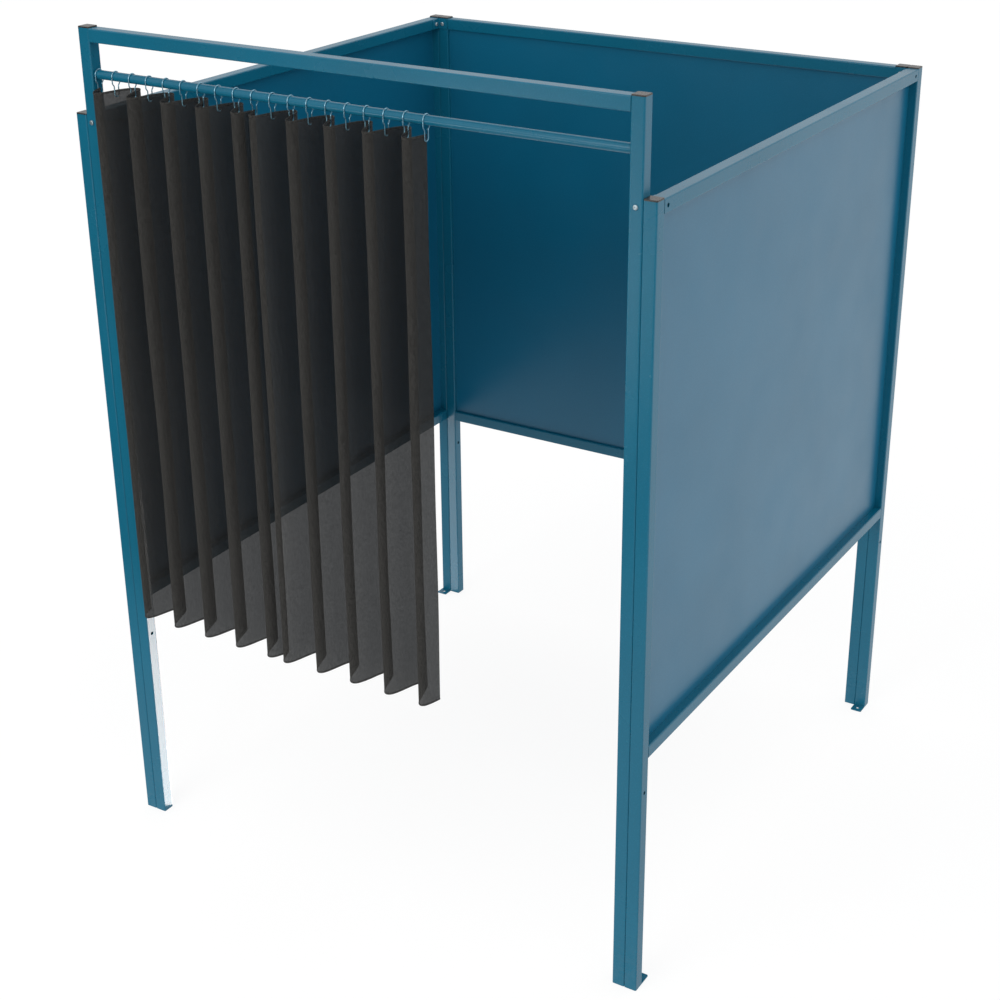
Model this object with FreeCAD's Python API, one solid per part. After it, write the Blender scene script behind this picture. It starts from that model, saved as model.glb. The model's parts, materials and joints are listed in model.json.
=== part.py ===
import math
import os

import FreeCAD
import Part

# Open-topped changing cubicle: three tube-framed panel walls, a taller
# front portal with a curtain rod, and a curtain hung from nineteen wire
# hooks. Millimetres. The origin is on the floor at the centre of the
# footprint, +X to the right along the front, +Y to the back, +Z up.

os.makedirs("parts", exist_ok=True)

# Overall sizes
WIDTH = 1430.0
DEPTH = 1430.0
WALL_TUBE_TOP = 1807.0
PORTAL_TUBE_TOP = 1997.0
BOTTOM_RAIL_Z = 595.0

# Square tube and sheet
TUBE = 30.0
TUBE_WALL = 2.0
TUBE_CORNER_R = 3.0
SHEET = 1.5
SHEET_OFFSET = 8.5

# Plastic end caps
CAP_TOP = 3.0
CAP_EDGE_R = 1.2
CAP_STUB = 10.0
CAP_STUB_GAP = 0.15

# Foot plates
PLATE_LENGTH = 60.0
PLATE_THICKNESS = 3.0
PLATE_CORNER_R = 3.0
ANCHOR_R = 4.5

# Holes in the frame
LINK_HOLE_Z = 517.0
LINK_HOLE_R = 4.5
SCREW_HOLE_R = 3.3
ACCESS_HOLE_R = 4.5

# Corner brackets and their M6 hardware
BRACKET_LEG = 30.0
BRACKET_WIDTH = 26.0
BRACKET_THICKNESS = 3.0
BRACKET_BEND_R = 3.0
BRACKET_CORNER_R = 6.0
BOLT_R = 3.0
BOLT_HEAD_R = 5.4
BOLT_HEAD_HEIGHT = 3.4
BOLT_HEAD_EDGE_R = 2.2
BOLT_SOCKET_AF = 4.0
BOLT_SOCKET_DEPTH = 2.0
THROUGH_BOLT_LENGTH = 39.0
SHORT_SCREW_LENGTH = 12.0
NUT_AF = 10.0
NUT_HEIGHT = 5.0
NUT_EDGE_R = 0.4
NUT_BORE_R = 3.05
HEXAGON_SIDES = 6

# Curtain rod
ROD_R = 10.0
ROD_WALL = 1.5
ROD_Z = 1897.0
ROD_INSERT = 15.0
ROD_HOLE_GAP = 0.1

# Wire hooks
HOOK_COUNT = 19
HOOK_FIRST_X = -650.0
HOOK_PITCH = 47.2
HOOK_WIRE_R = 1.25
HOOK_ROD_GAP = 0.1
HOOK_SIDE_DROP = 12.0
HOOK_NECK_DROP = 22.0
HOOK_LEG_DROP = 36.0
HOOK_LEG_Y = 6.5

# Curtain folds: the first hook beside each of the ten folds
FOLD_HOOKS = (1, 3, 5, 7, 9, 10, 12, 14, 16, 18)
CURTAIN_TOP = 1869.0
CURTAIN_BOTTOM = 588.0
FOLD_REACH = 43.0
FOLD_WIDTH = 11.6
FOLD_CLOTH = 1.6
FOLD_HOOK_GAP = 0.25

# Tolerances used when picking edges
PARALLEL = 0.999
NEAR = 0.01

X_AXIS = FreeCAD.Vector(1, 0, 0)
Y_AXIS = FreeCAD.Vector(0, 1, 0)
Z_AXIS = FreeCAD.Vector(0, 0, 1)

HALF_X = WIDTH / 2
HALF_Y = DEPTH / 2
HALF_TUBE = TUBE / 2
RAIL_LENGTH_Y = DEPTH - 2 * TUBE
RAIL_LENGTH_X = WIDTH - 4 * TUBE
PANEL_BOTTOM = BOTTOM_RAIL_Z + TUBE
PANEL_TOP = WALL_TUBE_TOP - TUBE
RAIL_CENTRE_Z = WALL_TUBE_TOP - HALF_TUBE
ROD_Y = -HALF_Y + HALF_TUBE
BRACKET_HOLE = BRACKET_LEG / 2


def vec(x, y, z):
    return FreeCAD.Vector(x, y, z)


def export(name, shapes):
    if len(shapes) == 1:
        shape = shapes[0]
    else:
        shape = Part.makeCompound(shapes)
    shape.exportStep("parts/" + name + ".step")


def edges_along(shape, axis):
    found = []
    for edge in shape.Edges:
        if edge.Curve.TypeId != "Part::GeomLine":
            continue
        direction = edge.tangentAt(edge.FirstParameter)
        if abs(direction.dot(axis)) > PARALLEL:
            found.append(edge)
    return found


def rounded_bar(low, high, axis, radius):
    size = high - low
    bar = Part.makeBox(size.x, size.y, size.z, low)
    return bar.makeFillet(radius, edges_along(bar, axis))


def square_tube(low, high, axis):
    """Square tube filling the box low..high, open at both ends along axis."""
    outer = rounded_bar(low, high, axis, TUBE_CORNER_R)
    inset = vec(TUBE_WALL, TUBE_WALL, TUBE_WALL)
    reach = axis * (TUBE_WALL * 2)
    inner_low = low + inset - reach
    inner_high = high - inset + reach
    inner_r = TUBE_CORNER_R - TUBE_WALL
    return outer.cut(rounded_bar(inner_low, inner_high, axis, inner_r))


def cylinder(start, axis, radius, length):
    return Part.makeCylinder(radius, length, start, axis)


def upright(x, y, bottom, top, drills):
    """Upright whose outer corner box starts at x, y; drills are cut away."""
    tube = square_tube(vec(x, y, bottom), vec(x + TUBE, y + TUBE, top), Z_AXIS)
    for drill in drills:
        tube = tube.cut(drill)
    return tube


def link_drill(y_centre):
    """Drill right across the cubicle along X at the link-hole height."""
    start = vec(-WIDTH, y_centre, LINK_HOLE_Z)
    return cylinder(start, X_AXIS, LINK_HOLE_R, 2 * WIDTH)


def bolt_drill(x_centre, y):
    """Drill along Y through an upright for a bracket bolt."""
    start = vec(x_centre, y - TUBE, RAIL_CENTRE_Z)
    return cylinder(start, Y_AXIS, SCREW_HOLE_R, 3 * TUBE)


def rod_drill(side):
    """Drill for the curtain rod in the inner wall of a portal upright."""
    start = vec(side * (HALF_X - 3 * TUBE), ROD_Y, ROD_Z)
    length = TUBE + ROD_INSERT
    return cylinder(start, X_AXIS * side, ROD_R + ROD_HOLE_GAP, length)


def side_rail(x, z, drills):
    low = vec(x, -HALF_Y + TUBE, z)
    high = vec(x + TUBE, HALF_Y - TUBE, z + TUBE)
    rail = square_tube(low, high, Y_AXIS)
    for drill in drills:
        rail = rail.cut(drill)
    return rail


def rail_drills(side):
    """Bracket screw hole in the inner wall, wider access hole outside."""
    drills = []
    for end in (-1, 1):
        y = end * (HALF_Y - TUBE - BRACKET_HOLE)
        middle = vec(side * (HALF_X - HALF_TUBE), y, RAIL_CENTRE_Z)
        outward = X_AXIS * side
        drills.append(cylinder(middle, outward, ACCESS_HOLE_R, TUBE))
        drills.append(cylinder(middle, outward * -1, SCREW_HOLE_R, TUBE))
    return drills


def cross_rail(y, z):
    low = vec(-HALF_X + 2 * TUBE, y, z)
    high = vec(HALF_X - 2 * TUBE, y + TUBE, z + TUBE)
    return square_tube(low, high, X_AXIS)


def side_panel(x):
    height = PANEL_TOP - PANEL_BOTTOM
    corner = vec(x + SHEET_OFFSET, -HALF_Y + TUBE, PANEL_BOTTOM)
    return Part.makeBox(SHEET, RAIL_LENGTH_Y, height, corner)


def back_panel():
    height = PANEL_TOP - PANEL_BOTTOM
    y = HALF_Y - TUBE + SHEET_OFFSET
    corner = vec(-HALF_X + 2 * TUBE, y, PANEL_BOTTOM)
    return Part.makeBox(RAIL_LENGTH_X, SHEET, height, corner)


def end_cap(x, y, top):
    """Cap on the tube whose corner is at x, y, with its stub inside."""
    plate = rounded_bar(
        vec(x, y, top), vec(x + TUBE, y + TUBE, top + CAP_TOP), Z_AXIS, TUBE_CORNER_R
    )
    rim = []
    for edge in plate.Edges:
        if edge.BoundBox.ZMin > top + CAP_TOP - NEAR:
            rim.append(edge)
    plate = plate.makeFillet(CAP_EDGE_R, rim)
    inset = TUBE_WALL + CAP_STUB_GAP
    low = vec(x + inset, y + inset, top - CAP_STUB)
    high = vec(x + TUBE - inset, y + TUBE - inset, top)
    stub = rounded_bar(low, high, Z_AXIS, TUBE_CORNER_R - TUBE_WALL)
    return plate.fuse(stub).removeSplitter()


def foot_plate(side, end):
    """Plate under a side wall's upright; its drilled half points inward."""
    x = side * (HALF_X - HALF_TUBE) - HALF_TUBE
    y = end * (HALF_Y - PLATE_LENGTH / 2) - PLATE_LENGTH / 2
    low = vec(x, y, 0)
    high = low + vec(TUBE, PLATE_LENGTH, PLATE_THICKNESS)
    plate = rounded_bar(low, high, Z_AXIS, PLATE_CORNER_R)
    hole_y = end * (HALF_Y - PLATE_LENGTH + HALF_TUBE)
    hole_start = vec(x + HALF_TUBE, hole_y, -PLATE_THICKNESS)
    return plate.cut(cylinder(hole_start, Z_AXIS, ANCHOR_R, 3 * PLATE_THICKNESS))


def corner_bracket(side, end):
    """Angle bracket in the corner between a side rail and an upright."""
    leg = BRACKET_LEG
    half_width = BRACKET_WIDTH / 2
    block = Part.makeBox(leg, leg, BRACKET_WIDTH, vec(0, 0, -half_width))
    inner = Part.makeBox(
        leg, leg, BRACKET_WIDTH, vec(BRACKET_THICKNESS, BRACKET_THICKNESS, -half_width)
    )
    angle = block.cut(inner)
    bend = []
    for edge in edges_along(angle, Z_AXIS):
        middle = edge.CenterOfMass
        if max(middle.x, middle.y) < BRACKET_THICKNESS + NEAR and middle.x > NEAR:
            bend.append(edge)
    angle = angle.makeFillet(BRACKET_BEND_R, bend)
    ends = []
    for edge in edges_along(angle, X_AXIS) + edges_along(angle, Y_AXIS):
        middle = edge.CenterOfMass
        if edge.Length < BRACKET_THICKNESS + NEAR and max(middle.x, middle.y) > leg - NEAR:
            ends.append(edge)
    angle = angle.makeFillet(BRACKET_CORNER_R, ends)
    for start, axis in ((vec(-leg, leg / 2, 0), X_AXIS), (vec(leg / 2, -leg, 0), Y_AXIS)):
        angle = angle.cut(cylinder(start, axis, SCREW_HOLE_R, 3 * leg))
    turn = {(-1, -1): 0, (1, -1): 90, (1, 1): 180, (-1, 1): 270}[(side, end)]
    angle.rotate(vec(0, 0, 0), Z_AXIS, turn)
    corner = vec(side * (HALF_X - TUBE), end * (HALF_Y - TUBE), RAIL_CENTRE_Z)
    angle.translate(corner)
    return angle


def button_screw(seat, inward, length):
    """Button-head screw: the head's underside is at seat, shank inward."""
    outward = inward * -1
    head = cylinder(seat, outward, BOLT_HEAD_R, BOLT_HEAD_HEIGHT)
    top = seat + outward * BOLT_HEAD_HEIGHT
    rim = []
    for edge in head.Edges:
        if edge.Closed and (edge.CenterOfMass - top).Length < NEAR:
            rim.append(edge)
    head = head.makeFillet(BOLT_HEAD_EDGE_R, rim)
    shank = cylinder(seat, inward, BOLT_R, length)
    socket = hexagon_prism(top, inward, BOLT_SOCKET_AF, BOLT_SOCKET_DEPTH)
    return head.fuse(shank).cut(socket).removeSplitter()


def hexagon_prism(start, axis, across_flats, length):
    """Six-sided prism with two corners up and down; axis is level."""
    radius = across_flats / math.sqrt(3)
    sideways = Z_AXIS.cross(axis)
    corners = []
    # The last corner repeats the first, which closes the outline
    for i in range(HEXAGON_SIDES + 1):
        angle = 2 * math.pi * i / HEXAGON_SIDES
        offset = Z_AXIS * (radius * math.cos(angle)) + sideways * (radius * math.sin(angle))
        corners.append(start + offset)
    face = Part.Face(Part.makePolygon(corners))
    return face.extrude(axis * length)


def hexagon_nut(seat, outward):
    """Nut with its bearing face at seat."""
    body = hexagon_prism(seat, outward, NUT_AF, NUT_HEIGHT)
    body = body.makeChamfer(NUT_EDGE_R, body.Edges)
    bore = cylinder(seat - outward * NUT_HEIGHT, outward, NUT_BORE_R, 3 * NUT_HEIGHT)
    return body.cut(bore)


def curtain_rod():
    half = HALF_X - 2 * TUBE + ROD_INSERT
    start = vec(-half, ROD_Y, ROD_Z)
    outer = cylinder(start, X_AXIS, ROD_R, 2 * half)
    return outer.cut(cylinder(start, X_AXIS, ROD_R - ROD_WALL, 2 * half))


def hook_x(number):
    return HOOK_FIRST_X + (number - 1) * HOOK_PITCH


def neck_curve(x, side):
    """Smooth wire from the wide loop down to one of the two close legs."""
    loop_y = ROD_R + HOOK_ROD_GAP + HOOK_WIRE_R
    curve = Part.BSplineCurve()
    curve.interpolate(
        Points=[
            vec(x, ROD_Y + side * loop_y, ROD_Z - HOOK_SIDE_DROP),
            vec(x, ROD_Y + side * HOOK_LEG_Y, ROD_Z - HOOK_NECK_DROP),
        ],
        InitialTangent=vec(0, 0, -1),
        FinalTangent=vec(0, 0, -1),
    )
    return curve.toShape()


def wire_hook(x):
    """Closed wire hook: a loop over the rod and two legs joined below."""
    loop_r = ROD_R + HOOK_ROD_GAP + HOOK_WIRE_R

    def point(side, reach, drop):
        return vec(x, ROD_Y + side * reach, ROD_Z - drop)

    edges = [
        Part.Arc(point(-1, loop_r, 0), point(0, 0, -loop_r), point(1, loop_r, 0)).toShape(),
        Part.makeLine(point(1, loop_r, 0), point(1, loop_r, HOOK_SIDE_DROP)),
        neck_curve(x, 1),
        Part.makeLine(point(1, HOOK_LEG_Y, HOOK_NECK_DROP), point(1, HOOK_LEG_Y, HOOK_LEG_DROP)),
        Part.Arc(
            point(1, HOOK_LEG_Y, HOOK_LEG_DROP),
            point(0, 0, HOOK_LEG_DROP + HOOK_LEG_Y),
            point(-1, HOOK_LEG_Y, HOOK_LEG_DROP),
        ).toShape(),
        Part.makeLine(point(-1, HOOK_LEG_Y, HOOK_LEG_DROP), point(-1, HOOK_LEG_Y, HOOK_NECK_DROP)),
        neck_curve(x, -1),
        Part.makeLine(point(-1, loop_r, HOOK_SIDE_DROP), point(-1, loop_r, 0)),
    ]
    path = Part.Wire(Part.sortEdges(edges)[0])
    start = point(1, loop_r, 0)
    section = Part.Wire(Part.makeCircle(HOOK_WIRE_R, start, Z_AXIS))
    return path.makePipeShell([section], True, False)


def curtain_fold(x):
    """One fold of cloth, a long U in plan, open to the back."""
    left = x + HOOK_WIRE_R + FOLD_HOOK_GAP
    height = CURTAIN_TOP - CURTAIN_BOTTOM
    outer_r = FOLD_WIDTH / 2
    inner_r = outer_r - FOLD_CLOTH
    crease = vec(left + outer_r, ROD_Y - FOLD_REACH + outer_r, CURTAIN_BOTTOM)
    back_length = 2 * FOLD_REACH - outer_r
    parts = []
    for radius in (outer_r, inner_r):
        arms = Part.makeBox(2 * radius, back_length, height, crease - vec(radius, 0, 0))
        nose = cylinder(crease, Z_AXIS, radius, height)
        parts.append(arms.fuse(nose))
    return parts[0].cut(parts[1]).removeSplitter()


LEFT_X = -HALF_X
RIGHT_X = HALF_X - TUBE
FRONT_Y = -HALF_Y
REAR_Y = HALF_Y - TUBE
INNER_LEFT_X = LEFT_X + TUBE
INNER_RIGHT_X = RIGHT_X - TUBE

front_link = link_drill(FRONT_Y + HALF_TUBE)
rear_link = link_drill(REAR_Y + HALF_TUBE)

# Side walls: the same wall on both sides, not mirrored
for name, wall_x, side in (("left", LEFT_X, -1), ("right", RIGHT_X, 1)):
    front = upright(wall_x, FRONT_Y, PLATE_THICKNESS, WALL_TUBE_TOP, [front_link])
    rear = upright(wall_x, REAR_Y, PLATE_THICKNESS, WALL_TUBE_TOP, [rear_link])
    top_rail = side_rail(wall_x, PANEL_TOP, rail_drills(side))
    bottom_rail = side_rail(wall_x, BOTTOM_RAIL_Z, [])
    export(name + "_wall_front_upright", [front])
    export(name + "_wall_rear_upright", [rear])
    export(name + "_wall_top_rail", [top_rail])
    export(name + "_wall_bottom_rail", [bottom_rail])
    export(name + "_wall_panel", [side_panel(wall_x)])

# Back wall and front portal
for name, x, side in (("left", INNER_LEFT_X, -1), ("right", INNER_RIGHT_X, 1)):
    rear_bolt = bolt_drill(x + HALF_TUBE, REAR_Y)
    front_bolt = bolt_drill(x + HALF_TUBE, FRONT_Y)
    back = upright(x, REAR_Y, 0, WALL_TUBE_TOP, [rear_link, rear_bolt])
    portal_drills = [front_link, front_bolt, rod_drill(side)]
    portal = upright(x, FRONT_Y, 0, PORTAL_TUBE_TOP, portal_drills)
    export("back_wall_" + name + "_upright", [back])
    export("portal_" + name + "_upright", [portal])

export("back_wall_top_rail", [cross_rail(REAR_Y, PANEL_TOP)])
export("back_wall_bottom_rail", [cross_rail(REAR_Y, BOTTOM_RAIL_Z)])
export("back_wall_panel", [back_panel()])
export("portal_header", [cross_rail(FRONT_Y, PORTAL_TUBE_TOP - TUBE)])
export("curtain_rod", [curtain_rod()])

# Caps, feet and corner joints
caps = []
for x in (LEFT_X, INNER_LEFT_X, INNER_RIGHT_X, RIGHT_X):
    front_top = WALL_TUBE_TOP if x in (LEFT_X, RIGHT_X) else PORTAL_TUBE_TOP
    caps.append(end_cap(x, FRONT_Y, front_top))
    caps.append(end_cap(x, REAR_Y, WALL_TUBE_TOP))
export("end_caps", caps)

feet = []
through_bolts = []
bolt_nuts = []
short_screws = []
for side, side_name in ((-1, "left"), (1, "right")):
    for end, end_name in ((-1, "front"), (1, "rear")):
        feet.append(foot_plate(side, end))
        export("corner_bracket_" + end_name + "_" + side_name, [corner_bracket(side, end)])
        bolt_x = side * (HALF_X - TUBE - BRACKET_HOLE)
        # Both ends are bolted front to back: the front through the portal
        # into the bracket, the rear through the bracket into the back wall.
        seat_y = -HALF_Y if end < 0 else HALF_Y - TUBE - BRACKET_THICKNESS
        grip = TUBE + BRACKET_THICKNESS
        seat = vec(bolt_x, seat_y, RAIL_CENTRE_Z)
        through_bolts.append(button_screw(seat, Y_AXIS, THROUGH_BOLT_LENGTH))
        bolt_nuts.append(hexagon_nut(seat + Y_AXIS * grip, Y_AXIS))
        screw_y = end * (HALF_Y - TUBE - BRACKET_HOLE)
        screw_x = side * (HALF_X - TUBE - BRACKET_THICKNESS)
        screw_seat = vec(screw_x, screw_y, RAIL_CENTRE_Z)
        short_screws.append(button_screw(screw_seat, X_AXIS * side, SHORT_SCREW_LENGTH))
export("foot_plates", feet)
export("through_bolts", through_bolts)
export("bolt_nuts", bolt_nuts)
export("bracket_screws", short_screws)

# Hooks and the folds of cloth they carry
for number in range(1, HOOK_COUNT + 1):
    export("hook_%02d" % number, [wire_hook(hook_x(number))])
for fold, number in enumerate(FOLD_HOOKS, start=1):
    export("curtain_fold_%02d" % fold, [curtain_fold(hook_x(number))])
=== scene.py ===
"""Looks for the changing cubicle: paint, plastic, metal and the pleated see-through curtain.

Everything is in metres in the row frame. The CAD nodes keep their own meshes. Only the curtain is modelled
here, as closed strips of cloth between neighbouring hooks.
"""

import json
import math

import bpy
import numpy as np
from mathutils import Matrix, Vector


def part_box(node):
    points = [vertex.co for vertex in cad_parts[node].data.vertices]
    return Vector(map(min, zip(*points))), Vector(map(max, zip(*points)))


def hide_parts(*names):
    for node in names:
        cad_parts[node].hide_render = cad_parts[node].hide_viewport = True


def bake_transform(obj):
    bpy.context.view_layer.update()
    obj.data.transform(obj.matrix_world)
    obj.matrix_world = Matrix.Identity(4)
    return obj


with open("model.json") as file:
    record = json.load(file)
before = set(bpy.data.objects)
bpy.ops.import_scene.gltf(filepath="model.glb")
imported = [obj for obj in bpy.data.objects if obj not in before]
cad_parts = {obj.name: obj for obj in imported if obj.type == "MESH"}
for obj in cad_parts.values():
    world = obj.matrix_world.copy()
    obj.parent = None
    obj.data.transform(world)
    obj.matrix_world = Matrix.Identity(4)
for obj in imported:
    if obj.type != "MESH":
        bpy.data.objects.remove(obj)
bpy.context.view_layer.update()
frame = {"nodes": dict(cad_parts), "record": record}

NODES = frame["nodes"]
HOOKS = sorted(name for name in NODES if name.startswith("hook_"))
FOLDS = sorted(name for name in NODES if name.startswith("curtain_fold_"))

# Curtain: two widths of cloth sewn together at SEAM_HOOK (counted from 0). HEM_ROWS are the heights of the
# mesh rows above the edge of a hem.
SEAM_HOOK = 9
CLOTH_HALF = 0.0005
HEM_HALF = 0.0010
HEM_HEIGHT = 0.0045
EDGE_TAPER = 0.0008
EDGE_THINNEST = 0.4
HEM_ROWS = [0, 0.0005, 0.0013, 0.0025, 0.0037, HEM_HEIGHT, 0.0052, 0.0065, 0.012]
COLUMNS = 24
BODY_ROWS = 76
BODY_MARGIN = 0.025
SLOPE_STEP = 1e-4
SHARP_ANGLE = math.radians(60)

# How far the cloth strays from a plain pleat: lengths in metres, the rest as shares
TOP_SAG = 0.0015
WANDER = 0.0012
FULLNESS = 0.05
REACH_DRIFT = 0.03
LEAN = 0.05
OVERTONE = 0.5
CURTAIN_SEED = 41

# Its waves, in half turns over the curtain's length, and the share of the length where they have grown
SIDE_WAVES = (2.3, 5.1)
DEPTH_WAVES = (1.7, 4.3)
REACH_WAVE = 2.1
LEAN_WAVE = 1.4
WANDER_GROWN = 1 / 4
LEAN_GROWN = 1 / 3
SAG_GONE = 1 / 8

# Cloth weave: thread spacing, the share of light one face of the sheet lets through and how it varies
THREAD_PITCH = 0.0011
FACE_PASS = 0.226
PASS_SWING = 0.25
SLUB_PASS = (0.93, 1.09)
HEM_PASS = 0.5
CREASE_SHARE = 0.20
CLOTH_ROUGH = 0.82

# Sizes of the surface noises, in cells per metre
PAINT_CLOUDS = 3.0
PAINT_SPECKLE = 320.0
PAINT_DUST = 60.0
PAINT_WEAR = 9.0
PAINT_WAVES = 140.0
PAINT_PEEL = 650.0
PLASTIC_CLOUDS = 60.0
PLASTIC_SHEEN = 300.0
PLASTIC_GRAIN = 1500.0
METAL_TARNISH = 90.0
METAL_MARKS = 900.0
CLOTH_SLUBS = 260.0
CLOTH_CREASES = 7.0
FLOOR_CLOUDS = 1.2

# Noise values where an effect starts, and where it is full
SOFT = (0.3, 0.7)
FIRM = (0.35, 0.65)
SPECKS = (0.50, 0.72)
PATCHES = (0.42, 0.78)
STAINS = (0.4, 0.75)

# Noise detail
PLAIN = 1.0
MEDIUM = 3.0
RICH = 4.0
RICHEST = 5.0

# Bumps: strength, and depth in metres
PEEL_BUMP = (0.10, 0.0006)
WAVE_BUMP = (0.012, 0.0012)
GRAIN_BUMP = (0.12, 0.0004)
MARK_BUMP = (0.12, 0.0003)
WEAVE_BUMP = (0.35, 0.0002)
CREASE_BUMP = (0.06, 0.003)

# Colours, linear
TUBE_TEAL = (0.0030, 0.125, 0.212)
SHEET_TEAL = (0.0030, 0.123, 0.226)
CAP_DARK = (0.012, 0.010, 0.009)
CAP_LIGHT = (0.030, 0.024, 0.020)
ZINC = (0.46, 0.55, 0.60)
WIRE = (0.27, 0.51, 0.64)
CLOTH_DARK = (0.027, 0.0267, 0.0255)
CLOTH_LIGHT = (0.053, 0.0522, 0.0500)
# Lighter tone laid along the vertical crease bands of the curtain
CLOTH_CREASE_TONE = (0.052, 0.051, 0.048)
CLOTH_CLEAR = (0.96, 0.98, 1.0)
FLOOR_PALE = (0.86, 0.86, 0.86)
FLOOR_PALER = (0.90, 0.90, 0.90)

# How far the paint, the cap plastic and the metals vary
PAINT_MOTTLE = (0.94, 1.06)
SPECKLE_SHARE = 0.22
SPECKLE_GAIN = 1.5
SPECKLE_LIFT = 0.01
WEAR_EDGE = (0.35, 0.70)
WEAR_ROUGH = (-0.02, 0.03)
CAP_ROUGH = (0.22, 0.36)
TARNISH_SHARE = 0.55
TARNISH_DARK = 0.62
SLUB_STRETCH = (1, 1, 0.6)
CREASE_STRETCH = (1, 1, 0.35)

# Dust near the floor
DUST = (0.30, 0.31, 0.30)
DUST_HEIGHT = 0.16
DUST_SHARE = 0.07
DUST_ROUGH = 0.5

# Studio floor. The camera sees FLOOR_GLOW parts of a white glow, FLOOR_WHITE bright, and the rest of the lit
# surface. Bounce and reflections see FLOOR_DIM at the front left, FLOOR_MIDDLE under the cubicle and
# FLOOR_BACK more at the back right. The fades are places along the diagonal, as x + y in metres.
FLOOR_SIZE = 60.0
FLOOR_GLOW = 0.80
FLOOR_WHITE = 1.06
FLOOR_DIM = 0.05
FLOOR_MIDDLE = 0.76
FLOOR_BACK = 0.165
FRONT_FADE = (-3.6, -2.0)
BACK_FADE = (0.5, 3.5)

# Sky light, brightest along SKY_LEAN. SKY_FADE are the cosines from it where the light is dim and bright.
SKY_LEAN = Vector((0.3, 0.2, 0.93)).normalized()
SKY_FADE = (-0.8, 0.7)
SKY_DIM = 0.55
SKY_BRIGHT = 1.20

# Lamps, aimed at the middle of the cubicle
LAMP_AIM = Vector((0, 0, 1.0))
KEY_WHITE = (1.0, 0.97, 0.93)
LOW_WHITE = (1.0, 0.96, 0.90)

# Strips of light on the floor that only one leg each reflects
GLARE_LENGTH = 2.0
GLARE_WIDTH = 0.5
GLARE_LIFT = 0.004
WARM_WHITE = (1.0, 0.88, 0.80)
MILD_WHITE = (1.0, 0.90, 0.85)

# Camera: place and clip in metres, turns in radians, lens and sensor in mm, shift as a share of the frame
CAMERA_PLACE = (2.1573, -3.6011, 2.6992)
CAMERA_TILT = -0.4160
CAMERA_TURN = 0.5321
CAMERA_LENS = 65.08
CAMERA_SENSOR = 36.0
CAMERA_SHIFT = (-0.0366, -0.0321)
CAMERA_CLIP = (0.1, 200.0)


# ---------------------------------------------------------------- materials


class Shader:
    """A small helper that builds one node material."""

    def __init__(self, name):
        self.material = bpy.data.materials.new(name)
        self.material.use_nodes = True
        self.tree = self.material.node_tree
        self.tree.nodes.clear()
        self.output = self.add("ShaderNodeOutputMaterial")
        self.place = self.add("ShaderNodeTexCoord").outputs["Object"]

    def add(self, kind, **settings):
        """A new node with these settings."""
        node = self.tree.nodes.new(kind)
        for key, value in settings.items():
            setattr(node, key, value)
        return node

    def link(self, source, target):
        self.tree.links.new(source, target)

    def feed(self, target, value):
        """Gives an input a fixed value or another node's output."""
        if isinstance(value, bpy.types.NodeSocket):
            self.link(value, target)
        else:
            target.default_value = value

    def math(self, operation, a, b=0.0):
        node = self.add("ShaderNodeMath", operation=operation)
        self.feed(node.inputs[0], a)
        self.feed(node.inputs[1], b)
        return node.outputs[0]

    def axes(self, vector):
        """The X, Y and Z outputs of a vector."""
        node = self.add("ShaderNodeSeparateXYZ")
        self.link(vector, node.inputs[0])
        return node.outputs

    def noise(self, scale, detail=2.0, stretch=(1, 1, 1)):
        """Noise in object space, from 0 to 1."""
        mapping = self.add("ShaderNodeMapping")
        mapping.inputs["Scale"].default_value = stretch
        self.link(self.place, mapping.inputs["Vector"])
        node = self.add("ShaderNodeTexNoise")
        node.inputs["Scale"].default_value = scale
        node.inputs["Detail"].default_value = detail
        self.link(mapping.outputs[0], node.inputs["Vector"])
        return node.outputs["Fac"]

    def spread(self, value, low, high, out_low=0.0, out_high=1.0):
        """Maps low..high to out_low..out_high and clamps outside it."""
        node = self.add("ShaderNodeMapRange")
        self.feed(node.inputs["Value"], value)
        node.inputs["From Min"].default_value = low
        node.inputs["From Max"].default_value = high
        node.inputs["To Min"].default_value = out_low
        node.inputs["To Max"].default_value = out_high
        return node.outputs["Result"]

    def blend(self, factor, a, b):
        """Colour a at factor 0 and colour b at factor 1."""
        node = self.add("ShaderNodeMix", data_type="RGBA")
        self.feed(node.inputs["Factor"], factor)
        self.feed(node.inputs["A"], a)
        self.feed(node.inputs["B"], b)
        return node.outputs["Result"]

    def bump(self, height, strength, distance, normal=None):
        node = self.add("ShaderNodeBump")
        node.inputs["Strength"].default_value = strength
        node.inputs["Distance"].default_value = distance
        self.link(height, node.inputs["Height"])
        if normal is not None:
            self.link(normal, node.inputs["Normal"])
        return node.outputs["Normal"]

    def principled(self, **values):
        """A Principled shader; input names are written with _ for a space."""
        node = self.add("ShaderNodeBsdfPrincipled")
        for key, value in values.items():
            self.feed(node.inputs[key.replace("_", " ")], value)
        return node.outputs["BSDF"]

    def mix(self, factor, a, b):
        """Shader a at factor 0 and shader b at factor 1."""
        node = self.add("ShaderNodeMixShader")
        self.feed(node.inputs["Fac"], factor)
        self.link(a, node.inputs[1])
        self.link(b, node.inputs[2])
        return node.outputs[0]

    def finish(self, surface):
        """Sets the surface and returns the material."""
        self.link(surface, self.output.inputs["Surface"])
        return self.material


def opaque(colour):
    return (*colour, 1.0)


def scaled(colour, factor, lift=0.0):
    return opaque([factor * part + lift for part in colour])


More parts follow.
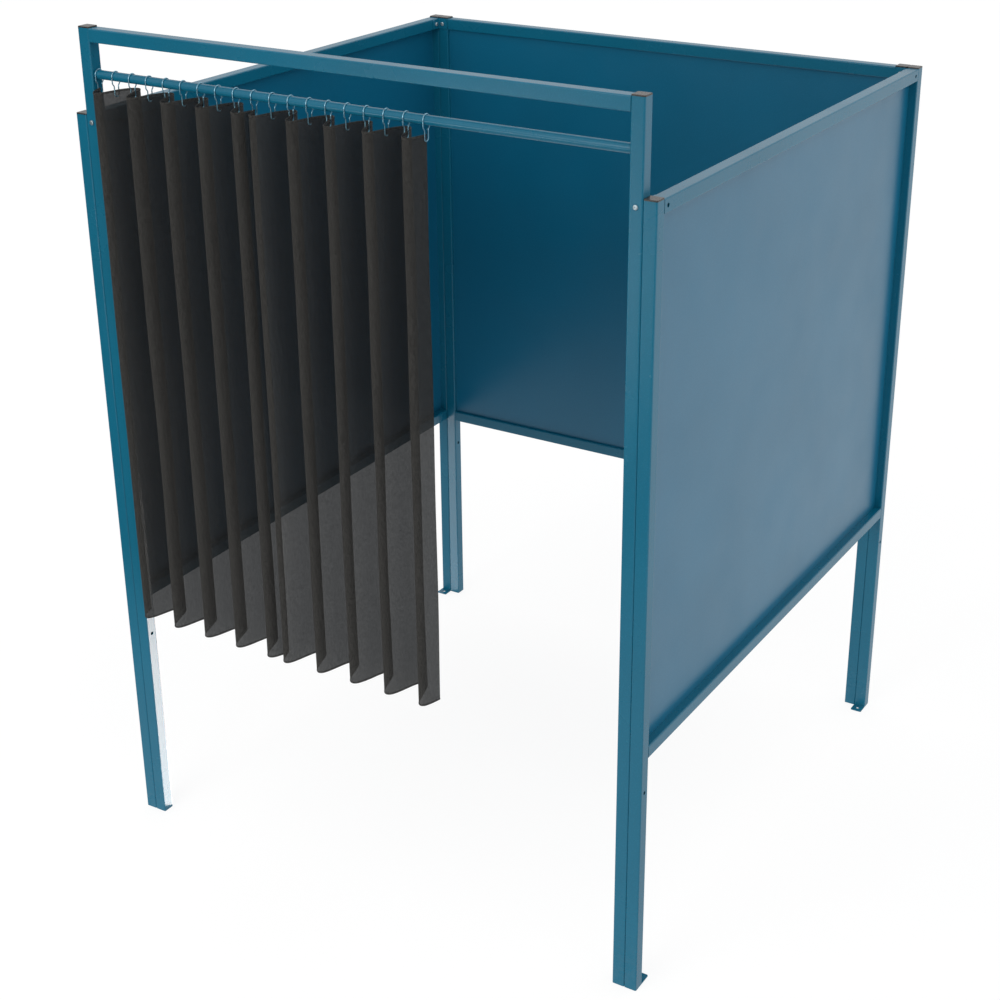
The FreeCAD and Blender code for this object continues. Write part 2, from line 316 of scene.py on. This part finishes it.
def powder_coat(name, colour, roughness, shine):
    """Baked powder coat: orange peel, faint mottling, fine speckle and a little dust round the feet."""
    s = Shader(name)
    darker, lighter = PAINT_MOTTLE
    clouds = s.spread(s.noise(PAINT_CLOUDS, RICH), *SOFT)
    paint = s.blend(clouds, scaled(colour, darker), scaled(colour, lighter))
    speckle = s.spread(s.noise(PAINT_SPECKLE, MEDIUM), *SPECKS, 0.0, SPECKLE_SHARE)
    paint = s.blend(speckle, paint, scaled(colour, SPECKLE_GAIN, SPECKLE_LIFT))
    low_down = s.spread(s.axes(s.place)["Z"], 0.0, DUST_HEIGHT, 1.0, 0.0)
    patches = s.spread(s.noise(PAINT_DUST, RICHEST), *PATCHES, 0.0, DUST_SHARE)
    dust = s.math("MULTIPLY", low_down, patches)
    paint = s.blend(dust, paint, opaque(DUST))
    wear = s.spread(s.noise(PAINT_WEAR, RICH), *WEAR_EDGE, *WEAR_ROUGH)
    rough = s.math("ADD", wear, roughness)
    rough = s.math("ADD", rough, s.math("MULTIPLY", dust, DUST_ROUGH))
    peel = s.bump(s.noise(PAINT_PEEL), *PEEL_BUMP)
    normal = s.bump(s.noise(PAINT_WAVES, PLAIN), *WAVE_BUMP, peel)
    coat = s.principled(Base_Color=paint, Roughness=rough, Specular_IOR_Level=shine, Normal=normal)
    return s.finish(coat)


def moulded_plastic(name):
    """Dark brown moulded cap plastic with a fine spark-eroded grain."""
    s = Shader(name)
    clouds = s.spread(s.noise(PLASTIC_CLOUDS, MEDIUM), *FIRM)
    colour = s.blend(clouds, opaque(CAP_DARK), opaque(CAP_LIGHT))
    rough = s.spread(s.noise(PLASTIC_SHEEN), *SOFT, *CAP_ROUGH)
    normal = s.bump(s.noise(PLASTIC_GRAIN), *GRAIN_BUMP)
    return s.finish(s.principled(Base_Color=colour, Roughness=rough, IOR=1.52, Normal=normal))


def bare_metal(name, colour, rough_low, rough_high, stretch):
    """Bright metal with drawing or turning marks along one direction."""
    s = Shader(name)
    tarnish = s.spread(s.noise(METAL_TARNISH, RICH), *STAINS, 0.0, TARNISH_SHARE)
    tint = s.blend(tarnish, opaque(colour), scaled(colour, TARNISH_DARK))
    marks = s.noise(METAL_MARKS, MEDIUM, stretch)
    rough = s.spread(marks, *SOFT, rough_low, rough_high)
    normal = s.bump(marks, *MARK_BUMP)
    return s.finish(s.principled(Base_Color=tint, Metallic=1.0, Roughness=rough, Normal=normal))


def see_through_cloth(name):
    """Thin black woven polyester. Each face of the sheet lets part of the light through.

    It lets more through between the threads, less at the hems, and all of it where two strips are joined.
    """
    s = Shader(name)
    along = s.axes(s.add("ShaderNodeUVMap", uv_map="cloth").outputs[0])
    thread = 2 * math.pi / THREAD_PITCH
    warp = s.math("SINE", s.math("MULTIPLY", along["X"], thread))
    weft = s.math("SINE", s.math("MULTIPLY", along["Y"], thread))
    weave = s.math("MULTIPLY", warp, weft)
    slub = s.spread(s.noise(CLOTH_SLUBS, MEDIUM, SLUB_STRETCH), *FIRM)
    crease = s.spread(s.noise(CLOTH_CREASES, RICH, CREASE_STRETCH), *SOFT)
    colour = s.blend(slub, opaque(CLOTH_DARK), opaque(CLOTH_LIGHT))
    # Lighter along the soft vertical crease bands, where the same noise raises the crease bump below
    colour = s.blend(s.math("MULTIPLY", crease, CREASE_SHARE), colour, opaque(CLOTH_CREASE_TONE))
    normal = s.bump(s.spread(weave, -1.0, 1.0), *WEAVE_BUMP)
    normal = s.bump(crease, *CREASE_BUMP, normal)
    cloth = s.principled(
        Base_Color=colour,
        Roughness=CLOTH_ROUGH,
        Sheen_Weight=0.04,
        Sheen_Roughness=0.5,
        Specular_IOR_Level=0.1,
        Normal=normal,
    )
    opening = s.spread(weave, -1.0, 1.0, FACE_PASS * (1 - PASS_SWING), FACE_PASS * (1 + PASS_SWING))
    opening = s.math("MULTIPLY", opening, s.spread(slub, 0.0, 1.0, *SLUB_PASS))
    hem = s.add("ShaderNodeAttribute", attribute_name="hem").outputs["Fac"]
    opening = s.math("MULTIPLY", opening, s.spread(hem, 0.0, 1.0, 1.0, HEM_PASS))
    joined = s.add("ShaderNodeAttribute", attribute_name="joined").outputs["Fac"]
    opening = s.math("MAXIMUM", opening, joined)
    clear = s.add("ShaderNodeBsdfTransparent")
    clear.inputs["Color"].default_value = opaque(CLOTH_CLEAR)
    return s.finish(s.mix(opening, cloth, clear.outputs[0]))


MATERIALS = {
    "frame_paint": powder_coat("frame_paint_look", TUBE_TEAL, roughness=0.26, shine=0.38),
    "panel_paint": powder_coat("panel_paint_look", SHEET_TEAL, roughness=0.30, shine=0.50),
    "cap_plastic": moulded_plastic("cap_plastic_look"),
    "zinc_hardware": bare_metal("zinc_look", ZINC, 0.30, 0.45, stretch=(1, 0.1, 1)),
    "hook_wire": bare_metal("wire_look", WIRE, 0.22, 0.36, stretch=(1, 1, 0.08)),
}
CLOTH = see_through_cloth("curtain_look")

for entry in frame["record"]["subparts"]:
    look = MATERIALS.get(entry["material_slot"])
    if look is not None:
        part = NODES[entry["node"]]
        part.data.materials.clear()
        part.data.materials.append(look)


# ------------------------------------------------------------------ curtain


def middle(node):
    """Middle of a CAD node's box."""
    low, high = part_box(node)
    return (low + high) / 2


hook_x = [middle(name).x for name in HOOKS]
hook_pitch = hook_x[1] - hook_x[0]
rod_middle = middle("curtain_rod")
fold_low, fold_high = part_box(FOLDS[0])
CURTAIN_TOP = fold_high.z
CURTAIN_BOTTOM = fold_low.z
CURTAIN_LENGTH = CURTAIN_TOP - CURTAIN_BOTTOM
REACH = (fold_high.y - fold_low.y) / 2
rng = np.random.default_rng(CURTAIN_SEED)
phase = rng.uniform(0, 2 * math.pi, (len(hook_x), 4))


def drop_below_top(z):
    """Way down the curtain, from 0 at the heading to 1 at the bottom hem."""
    return (CURTAIN_TOP - z) / CURTAIN_LENGTH


def wave(drop, half_turns, shift):
    """A slow wave down the curtain."""
    return np.sin(half_turns * math.pi * drop + shift)


def grown(drop, share):
    """Rises from 0 at the heading to 1 at this share of the way down."""
    return np.clip(drop / share, 0, 1)


def edge_wander(hook, z):
    """How far the cloth line below one hook strays to the side and in depth."""
    drop = drop_below_top(z)
    a, b, c, d = phase[hook]
    dx = wave(drop, SIDE_WAVES[0], a) + OVERTONE * wave(drop, SIDE_WAVES[1], b)
    dy = wave(drop, DEPTH_WAVES[0], c) + OVERTONE * wave(drop, DEPTH_WAVES[1], d)
    size = WANDER * grown(drop, WANDER_GROWN)
    return dx * size, dy * size


def cloth_surface(hook, t, z):
    """Points of the cloth between two hooks: t runs 0..1 across, z down the curtain."""
    forward = (hook % 2 == 0) == (hook < SEAM_HOOK)
    side = -1.0 if forward else 1.0
    x0, y0 = edge_wander(hook, z)
    x1, y1 = edge_wander(hook + 1, z)
    drop = drop_below_top(z)
    a, b = phase[hook][:2]
    reach = REACH * (1 + REACH_DRIFT * wave(drop, REACH_WAVE, a) * grown(drop, WANDER_GROWN))
    bulge = (np.sin(math.pi * t) + FULLNESS * np.sin(3 * math.pi * t)) / (1 - FULLNESS)
    lean = LEAN * wave(drop, LEAN_WAVE, b) * grown(drop, LEAN_GROWN)
    across = t + lean * bulge * t * (1 - t)
    x = (hook_x[hook] + x0) * (1 - across) + (hook_x[hook + 1] + x1) * across
    y = rod_middle.y + y0 * (1 - t) + y1 * t + side * reach * bulge
    sag = TOP_SAG * bulge**2 * (1 - grown(drop, SAG_GONE))
    return np.stack([x, y, z - sag], -1)


def row_heights():
    """Row heights from the bottom hem to the top heading, closer together at the sewn edges."""
    body = list(np.linspace(BODY_MARGIN, CURTAIN_LENGTH - BODY_MARGIN, BODY_ROWS))
    top = [CURTAIN_LENGTH - height for height in reversed(HEM_ROWS)]
    return CURTAIN_BOTTOM + np.array(HEM_ROWS + body + top)


def half_thickness(z):
    """Cloth half thickness, swelling into a narrow rolled hem at both ends."""
    from_edge = np.minimum(z - CURTAIN_BOTTOM, CURTAIN_TOP - z)
    roll = np.clip(from_edge / HEM_HEIGHT, 0, 1)
    swell = np.sqrt(np.clip(np.sin(math.pi * roll), 0, 1))
    taper = np.clip(from_edge / EDGE_TAPER, EDGE_THINNEST, 1)
    return CLOTH_HALF * taper + (HEM_HALF - CLOTH_HALF) * swell


def grid_faces(rows, columns, start, flip):
    """Faces of one grid of points whose first point has number start."""
    faces = []
    for r in range(rows - 1):
        for c in range(columns - 1):
            a = start + r * columns + c
            quad = (a, a + 1, a + columns + 1, a + columns)
            faces.append(quad[::-1] if flip else quad)
    return faces


def hem_faces(rows, columns):
    """Faces that join the outer and the inner grid along the bottom and the top edge."""
    count = rows * columns
    faces = []
    for c in range(columns - 1):
        top = (rows - 1) * columns + c
        faces.append((c, c + count, c + count + 1, c + 1))
        faces.append((top, top + 1, top + 1 + count, top + count))
    return faces


def side_faces(rows, columns):
    """Faces that join the outer and the inner grid along the left and the right edge."""
    count = rows * columns
    left_faces = []
    right_faces = []
    for r in range(rows - 1):
        left = r * columns
        right = left + columns - 1
        left_faces.append((left, left + columns, left + columns + count, left + count))
        right_faces.append((right, right + count, right + columns + count, right + columns))
    return left_faces, right_faces


def cloth_strip(hook):
    """One closed strip of cloth between two neighbouring hooks.

    A side face that meets the next strip is marked as joined, so that no seam shows between them.
    """
    z = row_heights()
    t = np.linspace(0, 1, COLUMNS + 1)
    rows, columns = len(z), len(t)
    grid_t, grid_z = np.meshgrid(t, z)
    centre = cloth_surface(hook, grid_t, grid_z)
    left = cloth_surface(hook, grid_t - SLOPE_STEP, grid_z)
    right = cloth_surface(hook, grid_t + SLOPE_STEP, grid_z)
    below = cloth_surface(hook, grid_t, grid_z - SLOPE_STEP)
    above = cloth_surface(hook, grid_t, grid_z + SLOPE_STEP)
    normal = np.cross(right - left, above - below)
    normal /= np.linalg.norm(normal, axis=-1, keepdims=True)
    half = half_thickness(grid_z)[..., None]
    outer = (centre + normal * half).reshape(-1, 3)
    inner = (centre - normal * half).reshape(-1, 3)
    faces = grid_faces(rows, columns, 0, False) + grid_faces(rows, columns, rows * columns, True)
    faces += hem_faces(rows, columns)
    left_faces, right_faces = side_faces(rows, columns)
    first = hook == 0
    last = hook == len(hook_x) - 2
    joined = [False] * len(faces) + [not first] * len(left_faces) + [not last] * len(right_faces)
    faces += left_faces + right_faces
    mesh = bpy.data.meshes.new("curtain_strip_%02d" % (hook + 1))
    mesh.from_pydata(np.concatenate([outer, inner]).tolist(), [], faces)
    add_cloth_layers(mesh, centre, grid_z, hook)
    layer = mesh.attributes.new("joined", "FLOAT", "FACE")
    layer.data.foreach_set("value", np.array(joined, np.float32))
    mesh.materials.append(CLOTH)
    mesh.shade_smooth()
    mesh.set_sharp_from_angle(angle=SHARP_ANGLE)
    strip = bpy.data.objects.new(mesh.name, mesh)
    bpy.context.scene.collection.objects.link(strip)
    return strip


def add_cloth_layers(mesh, centre, grid_z, hook):
    """Stores the thread directions as UVs in metres, and where the cloth is doubled."""
    steps = np.linalg.norm(np.diff(centre, axis=1), axis=-1)
    length = np.concatenate([np.zeros((len(grid_z), 1)), np.cumsum(steps, axis=1)], axis=1)
    across = (length + hook * length[:, -1:]).reshape(-1)
    down = grid_z.reshape(-1)
    uv = mesh.uv_layers.new(name="cloth")
    corners = np.zeros(len(mesh.loops), np.int32)
    mesh.loops.foreach_get("vertex_index", corners)
    corners = corners % len(across)
    uv.data.foreach_set("uv", np.stack([across[corners], down[corners]], -1).ravel())
    from_edge = np.minimum(down - CURTAIN_BOTTOM, CURTAIN_TOP - down)
    hem = (from_edge < HEM_HEIGHT).astype(np.float32)
    layer = mesh.attributes.new("hem", "FLOAT", "POINT")
    layer.data.foreach_set("value", np.concatenate([hem, hem]))


def fold_beside(hook):
    """The CAD fold that hangs beside this hook, if there is one."""
    for name in FOLDS:
        low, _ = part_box(name)
        if 0 < low.x - hook_x[hook] < hook_pitch / 2:
            return name
    return None


for hook in range(len(HOOKS) - 1):
    strip = cloth_strip(hook)
    fold = fold_beside(hook)
    if fold is not None:
        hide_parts(fold)
    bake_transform(strip)


# ------------------------------------------------------------ studio, camera


def surroundings():
    """White to the camera; as light, brighter overhead and to the back right than at the front left."""
    world = bpy.data.worlds.new("studio_world")
    bpy.context.scene.world = world
    world.use_nodes = True
    tree = world.node_tree
    tree.nodes.clear()
    out = tree.nodes.new("ShaderNodeOutputWorld")
    seen = tree.nodes.new("ShaderNodeBackground")
    seen.inputs["Color"].default_value = opaque((1, 1, 1))
    light = tree.nodes.new("ShaderNodeBackground")
    coord = tree.nodes.new("ShaderNodeTexCoord")
    lean = tree.nodes.new("ShaderNodeVectorMath")
    lean.operation = "DOT_PRODUCT"
    lean.inputs[1].default_value = SKY_LEAN
    tree.links.new(coord.outputs["Generated"], lean.inputs[0])
    ramp = tree.nodes.new("ShaderNodeMapRange")
    ramp.inputs["From Min"].default_value = SKY_FADE[0]
    ramp.inputs["From Max"].default_value = SKY_FADE[1]
    ramp.inputs["To Min"].default_value = SKY_DIM
    ramp.inputs["To Max"].default_value = SKY_BRIGHT
    tree.links.new(lean.outputs["Value"], ramp.inputs["Value"])
    tree.links.new(ramp.outputs["Result"], light.inputs["Strength"])
    path = tree.nodes.new("ShaderNodeLightPath")
    mix = tree.nodes.new("ShaderNodeMixShader")
    tree.links.new(path.outputs["Is Camera Ray"], mix.inputs["Fac"])
    tree.links.new(light.outputs[0], mix.inputs[1])
    tree.links.new(seen.outputs[0], mix.inputs[2])
    tree.links.new(mix.outputs[0], out.inputs["Surface"])


def floor_look():
    """Near-white floor. Reflections and bounce see it brighter at the back right than at the front left."""
    s = Shader("floor_look")
    diffuse = s.add("ShaderNodeBsdfDiffuse")
    grain = s.spread(s.noise(FLOOR_CLOUDS), *SOFT)
    s.link(s.blend(grain, opaque(FLOOR_PALE), opaque(FLOOR_PALER)), diffuse.inputs["Color"])
    glow = s.add("ShaderNodeEmission")
    glow.inputs["Strength"].default_value = FLOOR_WHITE
    seen = s.mix(FLOOR_GLOW, diffuse.outputs[0], glow.outputs[0])
    place = s.axes(s.place)
    diagonal = s.math("ADD", place["X"], place["Y"])
    bounce = s.add("ShaderNodeEmission")
    front = s.spread(diagonal, *FRONT_FADE, FLOOR_DIM, FLOOR_MIDDLE)
    back = s.spread(diagonal, *BACK_FADE, 0.0, FLOOR_BACK)
    s.link(s.math("ADD", front, back), bounce.inputs["Strength"])
    path = s.add("ShaderNodeLightPath")
    return s.finish(s.mix(path.outputs["Is Camera Ray"], bounce.outputs[0], seen))


def pale_floor():
    bpy.ops.mesh.primitive_plane_add(size=FLOOR_SIZE)
    floor = bpy.context.object
    floor.name = "studio_floor"
    floor.data.materials.append(floor_look())


def new_lamp(name, energy, colour):
    data = bpy.data.lights.new(name, "AREA")
    data.energy = energy
    data.color = colour
    lamp = bpy.data.objects.new(name, data)
    bpy.context.scene.collection.objects.link(lamp)
    return lamp


def soft_lamp(name, place, size, energy, colour):
    """A square lamp aimed at the middle of the cubicle."""
    lamp = new_lamp(name, energy, colour)
    lamp.data.size = size
    lamp.location = place
    aim = LAMP_AIM - lamp.location
    lamp.rotation_euler = aim.to_track_quat("-Z", "Y").to_euler()


def floor_glare(node, start, heading, energy, colour):
    """A strip of light on the floor from a leg's corner outwards, seen only as a reflection in that leg."""
    lamp = new_lamp("glare_" + node, energy, colour)
    lamp.data.shape = "RECTANGLE"
    lamp.data.size = GLARE_LENGTH
    lamp.data.size_y = GLARE_WIDTH
    ahead = Vector((math.cos(heading), math.sin(heading), 0)) * (GLARE_LENGTH / 2)
    lamp.location = Vector((start.x, start.y, GLARE_LIFT)) + ahead
    lamp.rotation_euler = (math.pi, 0, heading)
    lamp.visible_camera = False
    lamp.visible_diffuse = False
    only = bpy.data.collections.new(lamp.name)
    only.objects.link(NODES[node])
    lamp.light_linking.receiver_collection = only


def camera():
    """Camera looking down from the front right, with an off-centre lens as in a cropped view."""
    data = bpy.data.cameras.new("camera")
    data.sensor_width = CAMERA_SENSOR
    data.lens = CAMERA_LENS
    data.shift_x, data.shift_y = CAMERA_SHIFT
    data.clip_start, data.clip_end = CAMERA_CLIP
    obj = bpy.data.objects.new("camera", data)
    obj.location = CAMERA_PLACE
    obj.rotation_euler = (math.pi / 2 + CAMERA_TILT, 0, CAMERA_TURN)
    bpy.context.scene.collection.objects.link(obj)
    bpy.context.scene.camera = obj


surroundings()
pale_floor()
soft_lamp("front_key", (-0.4, -5.0, 3.2), size=2.5, energy=76.0, colour=KEY_WHITE)
soft_lamp("front_left_low", (-1.6, -3.6, 0.5), size=1.2, energy=18.0, colour=LOW_WHITE)
_, inner_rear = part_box("portal_left_upright")
floor_glare("portal_left_upright", inner_rear, heading=math.radians(45), energy=43.0, colour=WARM_WHITE)
front_left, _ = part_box("back_wall_left_upright")
floor_glare("back_wall_left_upright", front_left, heading=math.radians(236), energy=10.5, colour=MILD_WHITE)
camera()
bpy.context.scene.view_settings.view_transform = "Standard"
